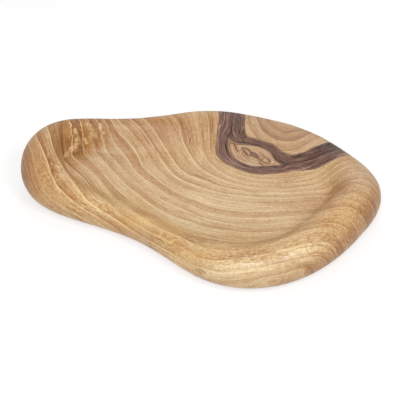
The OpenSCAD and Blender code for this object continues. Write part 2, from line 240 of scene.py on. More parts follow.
# Darker wood and painted shade; below zero, lighter wood, painted highlights and light painted over crease
# shade
TONE_AND_PAINTED_LIGHT = [
    (-93, 10, 7, 22, 0.38), (-81.5, 0, 3, 5, 0.12), (-78, 36, 5, 4, 0.14), (-78, 8, 10, 18, 0.18),
    (-72, -9, 5, 5, 0.1), (-71.5, 28, 3.5, 7, 0.28), (-70, 36, 5, 4, 0.15), (-69.5, 4, 3, 6, -0.14),
    (-68.6, 26, 1, 5, -0.18), (-67, 26, 2, 1.5, 0.25), (-66, 40, 10, 4, 0.16), (-65.5, 32, 1.5, 3.5, 0.2),
    (-65, 30, 3, 2, 0.25), (-63, 28, 4, 2, 0.12), (-63, 24, 4, 4, 0.15), (-62, 34.5, 5, 3, 0.16),
    (-62, -14, 7, 5, 0.2), (-60, -21, 10, 4, 0.14), (-58, 33.5, 5, 1.8, 0.26), (-55, 30.5, 5, 2, 0.18),
    (-54, 38, 7, 2.5, 0.12), (-51, 35.5, 4, 1.8, 0.15), (-51, -11, 11, 6, -0.24), (-50, 43, 26, 5, 0.34),
    (-47, -10, 4, 3, 0.12), (-43.5, -11, 4, 4, 0.14), (-36, -30, 12, 5, -0.1), (-35, -7, 6, 5, -0.22),
    (-34, -12, 6, 3, -0.04), (-32, 28, 14, 11, 0.07), (-29, -3, 7, 5, 0.06), (-28, 34, 12, 8, 0.08),
    (-26, -22, 6, 4, -0.12), (-22, -19, 6, 3, -0.08), (-18, -38, 6, 3, -0.12), (-17, -45, 6, 4, -0.12),
    (-16, 42, 9, 7, 0.28), (-14, -49, 12, 5, -0.1), (-12, 12, 10, 7, 0.08), (-10, -27, 6, 3, -0.1),
    (-10, -47, 8, 5, -0.08), (-8, -47, 9, 4, -0.1), (-8, -39, 5, 3, 0.12), (-8, -18, 22, 8, -0.10),
    (0, 29, 4, 5, -0.15), (4, 40, 9, 11, 0.16), (4, -56, 12, 5, -0.20), (6.5, 42, 2, 8, 0.18),
    (9, -38, 8, 4, -0.26), (15, 4, 30, 14, -0.11), (16, -39, 10, 3, -0.1), (18, -63, 16, 4, -0.09),
    (18, -27, 10, 5, 0.1), (21, -54.5, 12, 2.5, -0.2), (22, -38, 9, 4, -0.1), (26, -48, 8, 3, 0.12),
    (26, -58, 22, 5, -0.24), (36, -3, 8, 4, 0.06), (40, 5, 8, 4, -0.08), (40, -15, 8, 5, -0.08),
    (41, -50, 5, 3, 0.12), (44, 12, 8, 4, 0.1), (45, -49, 8, 3, -0.20), (46, -5, 7, 4, 0.12),
    (47, 17, 6, 2.5, 0.1), (48, -23, 8, 4, 0.08), (48, -47, 14, 5, -0.20), (48, -64, 12, 4, 0.24),
    (53, -50, 5, 3, -0.12), (54, 19, 8, 3, -0.1), (56, -58, 7, 4, 0.08), (56, -15, 6, 5, 0.08),
    (57, 8, 9, 6, -0.08), (58, -37.5, 6, 3, 0.1), (59, -19, 3, 5, -0.12), (60, -44, 7, 4, -0.12),
    (60, 18, 6, 2.5, -0.12), (60, -6, 7, 7, 0.26), (61, -21, 5, 6, 0.25), (63, -39, 6, 4, 0.1),
    (64, -51, 11, 7, 0.20), (66, -8, 3, 6, -0.12), (70, -31, 5, 5, -0.12), (70, -4, 5, 8, 0.10),
    (72, -40, 7, 5, 0.1), (72, -8, 6, 8, 0.12), (73, -44, 5, 5, 0.25), (74, 16, 6, 6, 0.12),
    (74, -25.5, 4, 4, 0.06), (74.5, -11, 4, 4, -0.1), (79, -12.5, 5, 5, -0.1), (79, -30, 5, 5, 0.1),
    (79, -38, 10, 7, 0.04), (84, -22, 8, 12, 0.26), (90, -14, 7, 14, 0.22), (92, 2, 6, 12, 0.12),
]
BAND_DARK = [(18.5, 26.5, 4.5, 4.5, -0.9), (36, 21, 8, 4, 0.4), (64, 28, 10, 7, 0.45)]
FRINGE = [(9.5, 29, 4.5, 6, 1.5)]
POLISH = [(-50, -11, 10, 6, 0.6), (21, -54.5, 22, 4.5, 1.0), (46, -49, 14, 5, 1.0)]

# The same by length and height: curled rings of the front side
CURLS = [(0.5, 9.5, 2.0, 1.5, 0.3), (34, 10.5, 8.0, 3.0, 0.4), (46, 12.5, 7.0, 3.0, 0.4)]

# Painted glints of the golden facets on the pocket's wall: places by length and height and half widths,
# in millimetres
GLINT_STROKES = [
    [(-63.0, 23.5, 1.0), (-62.4, 20.0, 1.2), (-61.6, 17.0, 1.9), (-63.3, 15.0, 1.8),
     (-66.3, 14.2, 1.3), (-68.6, 13.8, 0.7)],
    [(-58.6, 18.6, 0.7), (-58.2, 17.0, 1.0), (-57.6, 15.9, 0.7)],
    [(-54.0, 23.0, 0.5), (-53.2, 20.5, 0.9), (-52.6, 18.8, 0.7)],
    [(-50.2, 25.0, 0.4), (-49.4, 22.5, 0.8), (-48.6, 20.5, 0.6)],
]

# Fineness of the mesh: points round the rim, rings of each stretch of the section, points along outlines and
# strokes, cuts of an edge where fine lines are drawn, and points worked on at a time
SPOKES = 640
FLOOR_STEPS, WALL_STEPS, ROLL_STEPS, UNDER_STEPS, BASE_STEPS = 56, 44, 32, 20, 10
BAND_POINTS, EYE_POINTS, CORE_POINTS, STROKE_POINTS = 240, 160, 48, 60
FINE_CUTS = 3
CHUNK = 4000

# Thinning of the rings towards the middle: past which share of the way out on the floor, or which ring of the
# base, only each first, second, fourth and so on point is kept
FLOOR_THINNING = ((0.7, 1), (0.35, 2), (0.15, 4), (0.06, 8), (0.0, 16))
BASE_THINNING = ((6, 8), (3, 4), (1, 2), (-1, 1))

# Least angle of an edge that stays sharp when a piece is shaded smooth
SHARP_ANGLE = math.radians(42)


def blend(a, b, c, d, t):
    """Smooth blend of four neighbouring rows, t running from the second row to the third."""
    t = t[:, None]
    near, far = 3 * t**3 - 6 * t**2 + 4, 3 * t * (1 + t - t**2) + 1
    return ((1 - t) ** 3 * a + near * b + far * c + t**3 * d) / 6


def closed_spline(rows, count):
    rows = np.array(rows, float)
    n = len(rows)
    u = np.arange(count) * n / count
    i = np.floor(u).astype(int)
    return blend(rows[(i - 1) % n], rows[i % n], rows[(i + 1) % n], rows[(i + 2) % n], u - i)


def open_spline(rows, count):
    rows = np.array(rows, float)
    last = len(rows) - 1
    u = np.linspace(0, last, count)
    i = np.minimum(np.floor(u).astype(int), last - 1)
    return blend(rows[np.maximum(i - 1, 0)], rows[i], rows[i + 1], rows[np.minimum(i + 2, last)], u - i)


def in_plan(share):
    return np.array(share, float)[..., :2] * (HALF_LENGTH, HALF_WIDTH)


def turned(p, angle):
    c, s = math.cos(angle), math.sin(angle)
    return p @ np.array([[c, s], [-s, c]])


def smooth_step(low, high, x):
    t = np.clip((x - low) / (high - low), 0, 1)
    return t * t * (3 - 2 * t)


# The dish's surface
def stretched(values, half):
    return (values - (values.max() + values.min()) / 2) / (values.max() - values.min()) * 2 * half


rim = closed_spline(RIM, SPOKES)
rim_place = np.stack([stretched(rim[:, 0], HALF_LENGTH), stretched(rim[:, 1], HALF_WIDTH)], 1)
spine_left, spine_right = in_plan(SPINE)
rim_way = spine_left + rim[:, 8:9] * (spine_right - spine_left) - rim_place
way_length = np.linalg.norm(rim_way, axis=1)
top = rim[:, 2] / rim[:, 2].max() * RIM_HEIGHT
crest = rim[:, 3] * ROLL_WIDTH
foot = crest + rim[:, 4] * (way_length - crest)
base = rim[:, 5] * ROLL_WIDTH
belly = BELLY * top
foot_handle, crest_handle = rim[:, 6] * (foot - crest), rim[:, 7] * (foot - crest)
middle = in_plan(MIDDLE)


def floor_height(p):
    low = in_plan(LOWEST)
    return FLOOR_THICKNESS + FLOOR_RISE * (
        ((p[:, 0] - low[0]) / HALF_LENGTH) ** 2 + ((p[:, 1] - low[1]) / HALF_WIDTH) ** 2)


def inside_rim(inset):
    return rim_place + (inset / way_length)[:, None] * rim_way


def curve(handles, t):
    a, b, c, d = handles
    return (1 - t) ** 3 * a + 3 * (1 - t) ** 2 * t * b + 3 * (1 - t) * t**2 * c + t**3 * d


def section_ring(insets, heights, t):
    return np.column_stack([inside_rim(curve(insets, t)), curve(heights, t)])


def thinned(ring, place, limits):
    """Every point of a ring, or every second, fourth and so on, by its place between the limits."""
    return ring[::next(step for limit, step in limits if place > limit)]


def dish_rings():
    """Rings of points from the middle of the floor, out and over the rim, and in again under the base."""
    nothing = np.zeros(SPOKES)
    wall = (foot, foot - foot_handle, crest + crest_handle, crest), (
        floor_height(inside_rim(foot)), floor_height(inside_rim(foot - foot_handle)), top, top)
    roll = (crest, crest * (1 - ROUND), nothing, nothing), (top, top, belly + ROUND * (top - belly), belly)
    under = (nothing, nothing, base * (1 - ROUND), base), (belly, belly * (1 - ROUND), nothing, nothing)
    rings = []
    foot_place = inside_rim(foot)
    for i in range(1, FLOOR_STEPS):
        t = i / FLOOR_STEPS
        p = middle + t * (foot_place - middle)
        rings.append(thinned(np.column_stack([p, floor_height(p)]), t, FLOOR_THINNING))
    for (insets, heights), steps in ((wall, WALL_STEPS), (roll, ROLL_STEPS), (under, UNDER_STEPS)):
        rings += [section_ring(insets, heights, i / steps) for i in range(steps)]
    edge = inside_rim(base)
    for i in range(BASE_STEPS):
        t = (i / BASE_STEPS) ** 1.5
        p = edge + t * (middle - edge)
        rings.append(thinned(np.column_stack([p, nothing]), i, BASE_THINNING))
    return rings


def dish_mesh():
    rings = dish_rings()
    points = [np.array([[*middle, floor_height(middle[None])[0]]])] + rings + [np.array([[*middle, 0.0]])]
    starts = np.cumsum([0] + [len(p) for p in points])
    faces = []
    for j in range(1, len(points) - 2):
        a, b = starts[j], starts[j + 1]
        n, m = len(points[j]), len(points[j + 1])
        for k in range(min(n, m)):
            if n == m:
                e = (k + 1) % n
                faces.append((a + k, b + k, b + e, a + e))
            elif m > n:
                e, p, q, r = (k + 1) % n, 2 * k, 2 * k + 1, (2 * k + 2) % m
                faces += [(a + k, b + p, b + q), (a + k, b + q, a + e), (a + e, b + q, b + r)]
            else:
                e, p, q, r = (k + 1) % m, 2 * k, 2 * k + 1, (2 * k + 2) % n
                faces += [(a + p, b + k, a + q), (a + q, b + k, b + e), (a + q, b + e, a + r)]
    n, m = len(points[1]), len(points[-2])
    faces += [(0, 1 + k, 1 + (k + 1) % n) for k in range(n)]
    faces += [(starts[-2], starts[-3] + (k + 1) % m, starts[-3] + k) for k in range(m)]
    return np.concatenate(points), faces


def carved(points, normals):
    """The surface with the slight unevenness of carving and sanding by hand. The base stays flat."""
    amount = np.array([
        0.6 * noise.noise(Vector(p) * 38) + 0.25 * noise.noise(Vector(p) * 95) for p in points])
    weight = smooth_step(0.002, 0.008, points[:, 2])
    return points + normals * (amount * weight * CARVING)[:, None]


def mesh_object(name, points, faces):
    mesh = bpy.data.meshes.new(name)
    mesh.from_pydata(np.asarray(points).tolist(), [], faces)
    mesh.update()
    obj = bpy.data.objects.new(name, mesh)
    bpy.context.scene.collection.objects.link(obj)
    return obj


def coordinates(mesh):
    co = np.zeros(len(mesh.vertices) * 3)
    mesh.vertices.foreach_get("co", co)
    return co.reshape(-1, 3)


def vertex_normals(mesh):
    n = np.zeros(len(mesh.vertices) * 3, np.float32)
    mesh.vertex_normals.foreach_get("vector", n)
    return n.reshape(-1, 3).astype(float)


def block(name, outline):
    """Upright block over a closed outline, through the whole height of the wood."""
    n = len(outline)
    low = np.column_stack([outline, np.full(n, -BLOCK_MARGIN)])
    high = np.column_stack([outline, np.full(n, RIM_HEIGHT + BLOCK_MARGIN)])
    sides = [(k, (k + 1) % n, n + (k + 1) % n, n + k) for k in range(n)]
    faces = [tuple(range(n - 1, -1, -1)), tuple(range(n, 2 * n))] + sides
    area = np.sum(outline[:, 0] * np.roll(outline[:, 1], -1) - np.roll(outline[:, 0], -1) * outline[:, 1])
    if area < 0:
        faces = [f[::-1] for f in faces]
    return mesh_object(name, np.concatenate([low, high]), faces)


def cut_piece(name, *steps):
    """A copy of the dish, cut by upright blocks one after another."""
    obj = bpy.data.objects.new(name, dish.data.copy())
    bpy.context.scene.collection.objects.link(obj)
    for operation, tool in steps:
        cut = obj.modifiers.new("cut", "BOOLEAN")
        cut.operation, cut.object, cut.solver = operation, tool, "MANIFOLD"
    evaluated = obj.evaluated_get(bpy.context.evaluated_depsgraph_get())
    mesh = bpy.data.meshes.new_from_object(evaluated)
    obj.modifiers.clear()
    old, obj.data = obj.data, mesh
    bpy.data.meshes.remove(old)
    mesh.name = name
    return obj


points, faces = dish_mesh()
dish = mesh_object("dish", points, faces)
points = carved(points, vertex_normals(dish.data))
dish.data.vertices.foreach_set("co", points.astype(np.float32).ravel())
dish.data.update()

# Outlines of the zones
band_rows = open_spline(BAND, BAND_POINTS)
band_line = in_plan(band_rows)
band_way = np.gradient(band_line, axis=0)
band_way /= np.linalg.norm(band_way, axis=1)[:, None]
band_side = turned(band_way, math.pi / 2) * (band_rows[:, 2] * BAND_WIDTH / 2)[:, None]
band_outer, band_inner = band_line - band_side, band_line + band_side
corner = in_plan(CORNER)[None]


def in_eye(share):
    return in_plan(EYE_MIDDLE) + turned(np.array(share) * (EYE_LENGTH / 2, EYE_WIDTH / 2), EYE_TURN)


eye_outline = in_eye(closed_spline(EYE, EYE_POINTS))
core_angle = np.arange(CORE_POINTS) * math.tau / CORE_POINTS
core_oval = np.column_stack([np.cos(core_angle) * CORE_LENGTH / 2, np.sin(core_angle) * CORE_WIDTH / 2])
core_outline = in_eye(CORE_MIDDLE) + turned(core_oval, EYE_TURN)

back_right = block("back_right", np.concatenate([band_outer, corner]))
strip = block("strip", np.concatenate([band_outer, band_inner[::-1]]))
rear = block("rear", np.concatenate([band_inner, corner]))
eye_block = block("eye_block", eye_outline)
core_block = block("core_block", core_outline)

body = cut_piece("pale_body", ("DIFFERENCE", back_right))
band = cut_piece("dark_band", ("INTERSECT", strip), ("DIFFERENCE", eye_block))
wedge = cut_piece("rear_wedge", ("INTERSECT", rear))
eye = cut_piece("eye", ("INTERSECT", eye_block), ("DIFFERENCE", core_block))
core = cut_piece("core", ("INTERSECT", core_block))
for helper in (dish, back_right, strip, rear, eye_block, core_block):
    bpy.data.objects.remove(helper)


# Fields over the wood, in millimetres in plan
def thin_plate(places, values, slack):
    """Smooth surface through values at places, as a function of place."""
    places, values = np.array(places, float), np.array(values, float)

    def bend(p):
        d2 = ((p[:, None] - places[None]) ** 2).sum(2) + 1e-9
        return 0.5 * d2 * np.log(d2)

    n = len(places)
    flat = np.column_stack([np.ones(n), places])
    system = np.block([[bend(places) + slack * np.eye(n), flat], [flat.T, np.zeros((3, 3))]])
    weights = np.linalg.solve(system, np.concatenate([values, np.zeros(3)]))

    def surface(p):
        parts = [bend(q) @ weights[:n] for q in np.array_split(p, max(1, len(p) // CHUNK))]
        return np.concatenate(parts) + np.column_stack([np.ones(len(p)), p]) @ weights[n:]

    return surface


def distance(p, line, closed=False):
    """Distance of each place from a line of points."""
    line = np.asarray(line, float)
    best = np.full(len(p), np.inf)
    ends = np.roll(line, -1, axis=0) if closed else line[1:]
    for a, b in zip(line, ends):
        ab = b - a
        t = np.clip(((p - a) @ ab) / max(ab @ ab, 1e-12), 0, 1)
        best = np.minimum(best, ((p - a - t[:, None] * ab) ** 2).sum(1))
    return np.sqrt(best)


ring_places = [p for _, line in RINGS for p in line]
ring_numbers = [number for number, line in RINGS for _ in line]
ring_field = thin_plate(ring_places, ring_numbers, RING_SLACK)

rim_tangent = np.roll(rim_place, -1, axis=0) - np.roll(rim_place, 1, axis=0)
rim_out = np.column_stack([rim_tangent[:, 1], -rim_tangent[:, 0]])
rim_out /= np.linalg.norm(rim_out, axis=1)[:, None]


def nearest(p, line):
    """Number of the nearest point of a line for each place."""
    parts = np.array_split(p, max(1, len(p) // CHUNK))
    return np.concatenate([np.argmin(((q[:, None] - line[None]) ** 2).sum(2), axis=1) for q in parts])


def laid_out(mesh):
    """Places in plan in millimetres, with the rim's outer side laid outwards, as the rings run on over it."""
    co, normals = coordinates(mesh), vertex_normals(mesh)
    near = nearest(co[:, :2], rim_place)
    inset = ((rim_place[near] - co[:, :2]) * rim_out[near]).sum(1)
    under = smooth_step(0.05, -0.05, normals[:, 2])
    outside = smooth_step(1.0, 0.25, inset / crest[near]) * (1 - under)
    outside += smooth_step(base[near] + 0.015, base[near], inset) * under
    drop = np.maximum(0, top[near] - co[:, 2])
    return (co[:, :2] + rim_out[near] * (SIDE_SHARE * drop * outside)[:, None]) * MM


def round_pith(p):
    return np.arctan2(p[:, 0] - PITH[0], PITH[1] - p[:, 1]) * PITH_REACH


def blob(p, x, y, across, deep):
    return np.exp(-((p[:, 0] - x) / across) ** 2 - ((p[:, 1] - y) / deep) ** 2)


def blobs(p, rows):
    return sum(strength * blob(p, *place) for *place, strength in rows)


def up_to_one(p, rows):
    return np.minimum(1, blobs(p, rows))


def fields(obj, **values):
    for name, value in values.items():
        layer = obj.data.attributes.new(name, "FLOAT", "POINT")
        layer.data.foreach_set("value", np.asarray(value, np.float32))


def refine(obj, chosen):
    """Divides the chosen faces of a mesh, so that fine lines can be drawn on them."""
    bm = bmesh.new()
    bm.from_mesh(obj.data)
    faces = [f for f in bm.faces if chosen(f)]
    faces = bmesh.ops.triangulate(bm, faces=faces)["faces"]
    edges = list(dict.fromkeys(e for f in faces for e in f.edges))
    bmesh.ops.subdivide_edges(bm, edges=edges, cuts=FINE_CUTS, use_grid_fill=True)
    bmesh.ops.triangulate(bm, faces=[f for f in bm.faces if len(f.verts) > 4])
    bm.to_mesh(obj.data)
    bm.free()
    obj.data.update()


def stroke_field(p, strokes):
    """Distance from the nearest stroke, in half widths of the stroke there."""
    best = np.full(len(p), np.inf)
    for rows in strokes:
        for x, y, half in open_spline([rows[0]] + rows + [rows[-1]], STROKE_POINTS):
            best = np.minimum(best, np.hypot(p[:, 0] - x, p[:, 1] - y) / half)
    return best


def paint_body():
    refine(body, lambda face: (face.calc_center_median() - DENT_PLACE).length < DENT_REACH)
    co, p = coordinates(body.data), laid_out(body.data)
    side = np.column_stack([co[:, 0], co[:, 2]]) * MM
    ring = ring_field(p)
    slope = np.hypot(ring_field(p + (0.5, 0)) - ring, ring_field(p + (0, 0.5)) - ring) * 2
    ring += blobs(side, CURLS) * smooth_step(-0.044, -0.047, co[:, 1])
    # Rosier and darker within 8 mm of the base: painted shade on the underside below the roll
    low = smooth_step(8, 2, side[:, 1])
    pocket = smooth_step(22, 26, p[:, 1]) * smooth_step(41, 38, p[:, 1])
    facets = smooth_step(2.2, 0.0, stroke_field(side, GLINT_STROKES)) * pocket
    # dark and rose carry painted shade, painted highlights and sheen haze besides the wood's own tone
    fields(
        body, ring=ring, along=round_pith(p), wide=np.clip(1 / (slope + 0.01), 2, 20),
        figure=up_to_one(p, FIGURE), calm=up_to_one(p, CALM), faint=up_to_one(p, FAINT),
        gold=up_to_one(p, GOLD), rose=blobs(p, ROSE) + 0.25 * low, speckle=up_to_one(p, SPECKLE),
        dark=blobs(p, TONE_AND_PAINTED_LIGHT), edge=distance(co[:, :2], band_outer) * MM - blobs(p, FRINGE),
        gleam=facets, polish=up_to_one(p, POLISH), mark=stroke_field(p, MARK))


def paint_band():
    p = coordinates(band.data)[:, :2] * MM
    outer, inner = distance(p, band_outer * MM) + 0.05, distance(p, band_inner * MM) + 0.05
    knot = distance(p, eye_outline * MM, True) + 0.05
    pulls = outer**-2, inner**-2, knot**-2
    across = (pulls[1] + 0.5 * pulls[2]) / sum(pulls)
    line = band_line * MM
    lengths = np.concatenate([[0], np.cumsum(np.linalg.norm(np.diff(line, axis=0), axis=1))])
    near = nearest(p, line)
    step = ((p - line[near]) * band_way[near]).sum(1)
    right_arm = smooth_step(50, 66, p[:, 0]) * smooth_step(0.1, 0.5, across)
    fields(band, ring=across, along=lengths[near] + step, edge=np.minimum(outer, np.minimum(inner, knot)),
           dark=right_arm + blobs(p, BAND_DARK))


def paint_wedge():
    p = laid_out(wedge.data)
    reach = np.hypot(p[:, 0] - PITH[0], p[:, 1] - PITH[1])
    edge = distance(coordinates(wedge.data)[:, :2], band_inner) * MM
    fields(wedge, ring=reach / REAR_RING, along=round_pith(p), edge=edge)


def paint_knot():
    refine(eye, lambda face: face.normal.z > 0.4)
    co, normals = coordinates(eye.data), vertex_normals(eye.data)
    p = co[:, :2] * MM
    crack = stroke_field(p, CRACKS)
    groove = np.exp(-(crack**2)) * smooth_step(0.5, 0.8, normals[:, 2])
    co[:, 2] -= CRACK_DEPTH * groove
    eye.data.vertices.foreach_set("co", co.astype(np.float32).ravel())
    eye.data.update()
    to_edge, to_core = distance(p, eye_outline * MM, True), distance(p, core_outline * MM, True)
    heart = in_eye(CORE_MIDDLE) * MM
    along = np.arctan2(p[:, 1] - heart[1], p[:, 0] - heart[0]) * CORE_REACH
    ends = smooth_step(30, 20, p[:, 0]) + 0.7 * smooth_step(28, 34, p[:, 0])
    fields(eye, ring=to_core / (to_core + to_edge + 1e-6), along=along, edge=to_edge, crack=crack, dark=ends)
    p = coordinates(core.data)[:, :2] * MM
    fields(core, ring=distance(p, core_outline * MM, True), along=p[:, 0] - p[:, 1])


paint_body()
paint_band()
paint_wedge()
paint_knot()


# Materials
def linear(r, g, b):
    """Linear colour from the usual 0 to 255 values."""
    shares = (r / 255, g / 255, b / 255)
    return tuple(c / 12.92 if c <= 0.04045 else ((c + 0.055) / 1.055) ** 2.4 for c in shares) + (1.0,)


# Colours of each zone by depth of brown
CREAM = linear(237, 213, 168)
PALE_COLOURS = [
    (0.0, CREAM), (0.3, linear(210, 178, 135)), (0.68, linear(179, 132, 84)), (1.0, linear(136, 89, 46)),
]
HEART_COLOURS = [
    (0.0, linear(176, 143, 122)), (0.28, linear(138, 103, 88)), (0.58, linear(105, 76, 64)),
    (1.0, linear(49, 31, 24)),
]
REAR_COLOURS = [
    (0.0, linear(224, 196, 154)), (0.3, linear(203, 168, 128)), (0.68, linear(171, 131, 96)),
    (1.0, linear(138, 97, 67)),
]
EYE_COLOURS = [
    (0.0, linear(226, 200, 164)), (0.35, linear(203, 170, 133)), (0.7, linear(168, 130, 98)),
    (1.0, linear(128, 92, 66)),
]

# Colours of the core from its border inwards, of borders, of the facets' painted glints, of the dent's
# painted shade and of cracks, and tints that multiply
CORE_COLOURS = [(0.0, linear(104, 73, 56)), (0.5, linear(118, 88, 72)), (1.0, linear(130, 99, 81))]
BORDER, HEART_BORDER = linear(112, 82, 66), linear(134, 101, 82)
GLINT_COLOUR, DENT_SHADE = linear(246, 214, 156), linear(140, 92, 52)
CRACK, CRACK_SIDE = linear(88, 54, 36), linear(156, 110, 76)
GOLD_TINT, ROSE_TINT = (1.05, 0.96, 0.73, 1), (0.93, 0.85, 0.86, 1)

# Depth of brown at even steps across the heartwood band, from its outer border to its inner one, and over the
# rear wood by the number of half rings from the pith
HEART_TONES = (0.40, 0.58, 0.46, 0.34, 0.60, 0.74, 0.62, 0.46, 0.56, 0.62, 0.50)
REAR_TONES = [
    (0, 0.46), (2, 0.44), (3.4, 0.36), (4.6, 0.46), (5.7, 0.68), (6.1, 0.46), (7.0, 0.54), (7.8, 0.76),
    (8.2, 0.34), (9.5, 0.42), (10.0, 0.62), (10.3, 0.28), (11.5, 0.26), (13.0, 0.38), (16.0, 0.42),
]
REAR_HALF_RINGS = 16


class Shader:
    """Short calls for making the nodes of one material or world."""

    def __init__(self, owner):
        owner.use_nodes = True
        self.owner, self.tree = owner, owner.node_tree
        self.tree.nodes.clear()

    def node(self, kind, inputs=(), **settings):
        n = self.tree.nodes.new(kind)
        for key, value in settings.items():
            setattr(n, key, value)
        for key, value in dict(inputs).items():
            if isinstance(value, bpy.types.NodeSocket):
                self.tree.links.new(value, n.inputs[key])
            else:
                n.inputs[key].default_value = value
        return n

    def math(self, operation, *values):
        return self.node("ShaderNodeMath", enumerate(values), operation=operation).outputs[0]

    def times(self, a, b):
        return self.math("MULTIPLY", a, b)

    def plus(self, a, b, share=1.0):
        """a plus a share of b."""
        return self.math("MULTIPLY_ADD", b, share, a)

    def field(self, name):
        return self.node("ShaderNodeAttribute", attribute_name=name, attribute_type="GEOMETRY").outputs["Fac"]

    def place(self):
        return self.node("ShaderNodeTexCoord").outputs["Object"]

    def vector(self, x, y, z=0.0):
        return self.node("ShaderNodeCombineXYZ", {0: x, 1: y, 2: z}).outputs[0]

    def ripple(self, vector, scale, detail=2.0, rough=0.5):
        """Noise about zero."""
        n = self.node("ShaderNodeTexNoise", {
            "Vector": vector, "Scale": scale, "Detail": detail, "Roughness": rough})
        return self.math("SUBTRACT", n.outputs[0], 0.5)

    def grain(self, ring, along, across, length, detail=2.0):
        """Noise about zero, stretched along the rings."""
        stretched_place = self.vector(self.times(ring, across), self.times(along, length))
        return self.ripple(stretched_place, 1.0, detail, 0.6)

    def chance(self, number):
        """One random value for each whole number."""
        whole = self.math("FLOOR", number)
        return self.node("ShaderNodeTexWhiteNoise", {"W": whole}, noise_dimensions="1D").outputs["Value"]

    def span(self, value, low, high, to_low=0.0, to_high=1.0, smooth=True):
        n = self.node("ShaderNodeMapRange", {0: value, 1: low, 2: high, 3: to_low, 4: to_high})
        n.interpolation_type = "SMOOTHSTEP" if smooth else "LINEAR"
        return n.outputs[0]

    def ramp(self, value, stops):
        n = self.node("ShaderNodeValToRGB", {0: value})
        e = n.color_ramp.elements
        for k, (place, colour) in enumerate(stops):
            stop = e[k] if k < 2 else e.new(place)
            stop.position, stop.color = place, colour
        return n.outputs[0]

    def depth(self, value, stops):
        """Depth of brown from a table of places and depths."""
        return self.ramp(value, [(place, (v, v, v, 1)) for place, v in stops])

    def mix(self, share, a, b, blend_type="MIX", **settings):
        n = self.node("ShaderNodeMix", {0: share, 6: a, 7: b}, data_type="RGBA", blend_type=blend_type,
                      **settings)
        return n.outputs[2]

    def blend(self, share, a, b):
        return self.node("ShaderNodeMix", {0: share, 2: a, 3: b}).outputs[0]

    def border(self, colour, border_colour, share, width, fine, wave):
        """The colour with a ragged border where the wood meets the next zone."""
        edge = self.plus(self.field("edge"), fine, wave)
        return self.mix(self.span(edge, width, -0.1, 0.0, share), colour, border_colour)

    def finish(self, colour, roughness, height, bump, specular=0.5):
        normal = self.node("ShaderNodeBump", {"Strength": bump, "Distance": 0.0004, "Height": height})
        wood = self.node("ShaderNodeBsdfPrincipled", {
            "Base Color": colour, "Roughness": roughness, "IOR": 1.46, "Specular IOR Level": specular,
            "Normal": normal.outputs[0], "Coat Weight": 0.05, "Coat Roughness": 0.3})
        self.tree.links.new(wood.outputs[0], self.node("ShaderNodeOutputMaterial").inputs[0])
        return self.owner


def ring_table(tones, count):
    """Stops of a ramp over the rings: depth of brown in red, strength of the pale line in green."""
    stops = []
    for number, (inside, outside, line) in enumerate(tones):
        for place, tone in ((number - 0.03, inside), (number + 0.03, outside)):
            stops.append((max(0.0, place / count), (tone, line, 0, 1)))
    return stops


def spread_grain(s, ring, along, spread, few, many, length, detail):
    """Grain with few waves to a ring, or with many where the rings are far apart and spread is 1."""
    return s.blend(spread, *(s.grain(ring, along, waves, length, detail) for waves in (few, many)))


def fine_structure(s, ring, along, spread, calm=0.0):
    """Streaks, threads, hairlines and pores along the rings, as depth of brown, and a height for the bump.

    Where calm is 1, streaks and threads are weak.
    """
    streak = spread_grain(s, ring, along, spread, 7.0, 20.0, 0.045, 4.0)
    thread = spread_grain(s, ring, along, spread, 15.0, 40.0, 0.13, 3.0)
    path = s.math("ABSOLUTE", s.grain(ring, along, 3.5, 0.02, 1.0))
    hair = s.times(s.span(path, 0.014, 0.002), s.span(s.grain(ring, along, 1.3, 0.05), -0.02, 0.10))
    pore = s.span(spread_grain(s, ring, along, spread, 14.0, 32.0, 0.45, 1.0), 0.15, 0.24)
    tone = s.times(s.plus(streak, thread, 1.1), s.span(calm, 0.0, 1.0, 0.8, 0.4, False))
    tone = s.plus(s.plus(tone, hair, 0.36), pore, 0.40)
    height = s.plus(s.plus(streak, thread, 0.6), s.math("MAXIMUM", hair, pore), -0.6)
    return tone, height


def satin(s, fine, fibres):
    """Roughness of oiled wood, duller where the fibres are dark."""
    return s.plus(s.times(fine, 0.2), s.span(fibres, -0.2, 0.3, 0.40, 0.54, False))


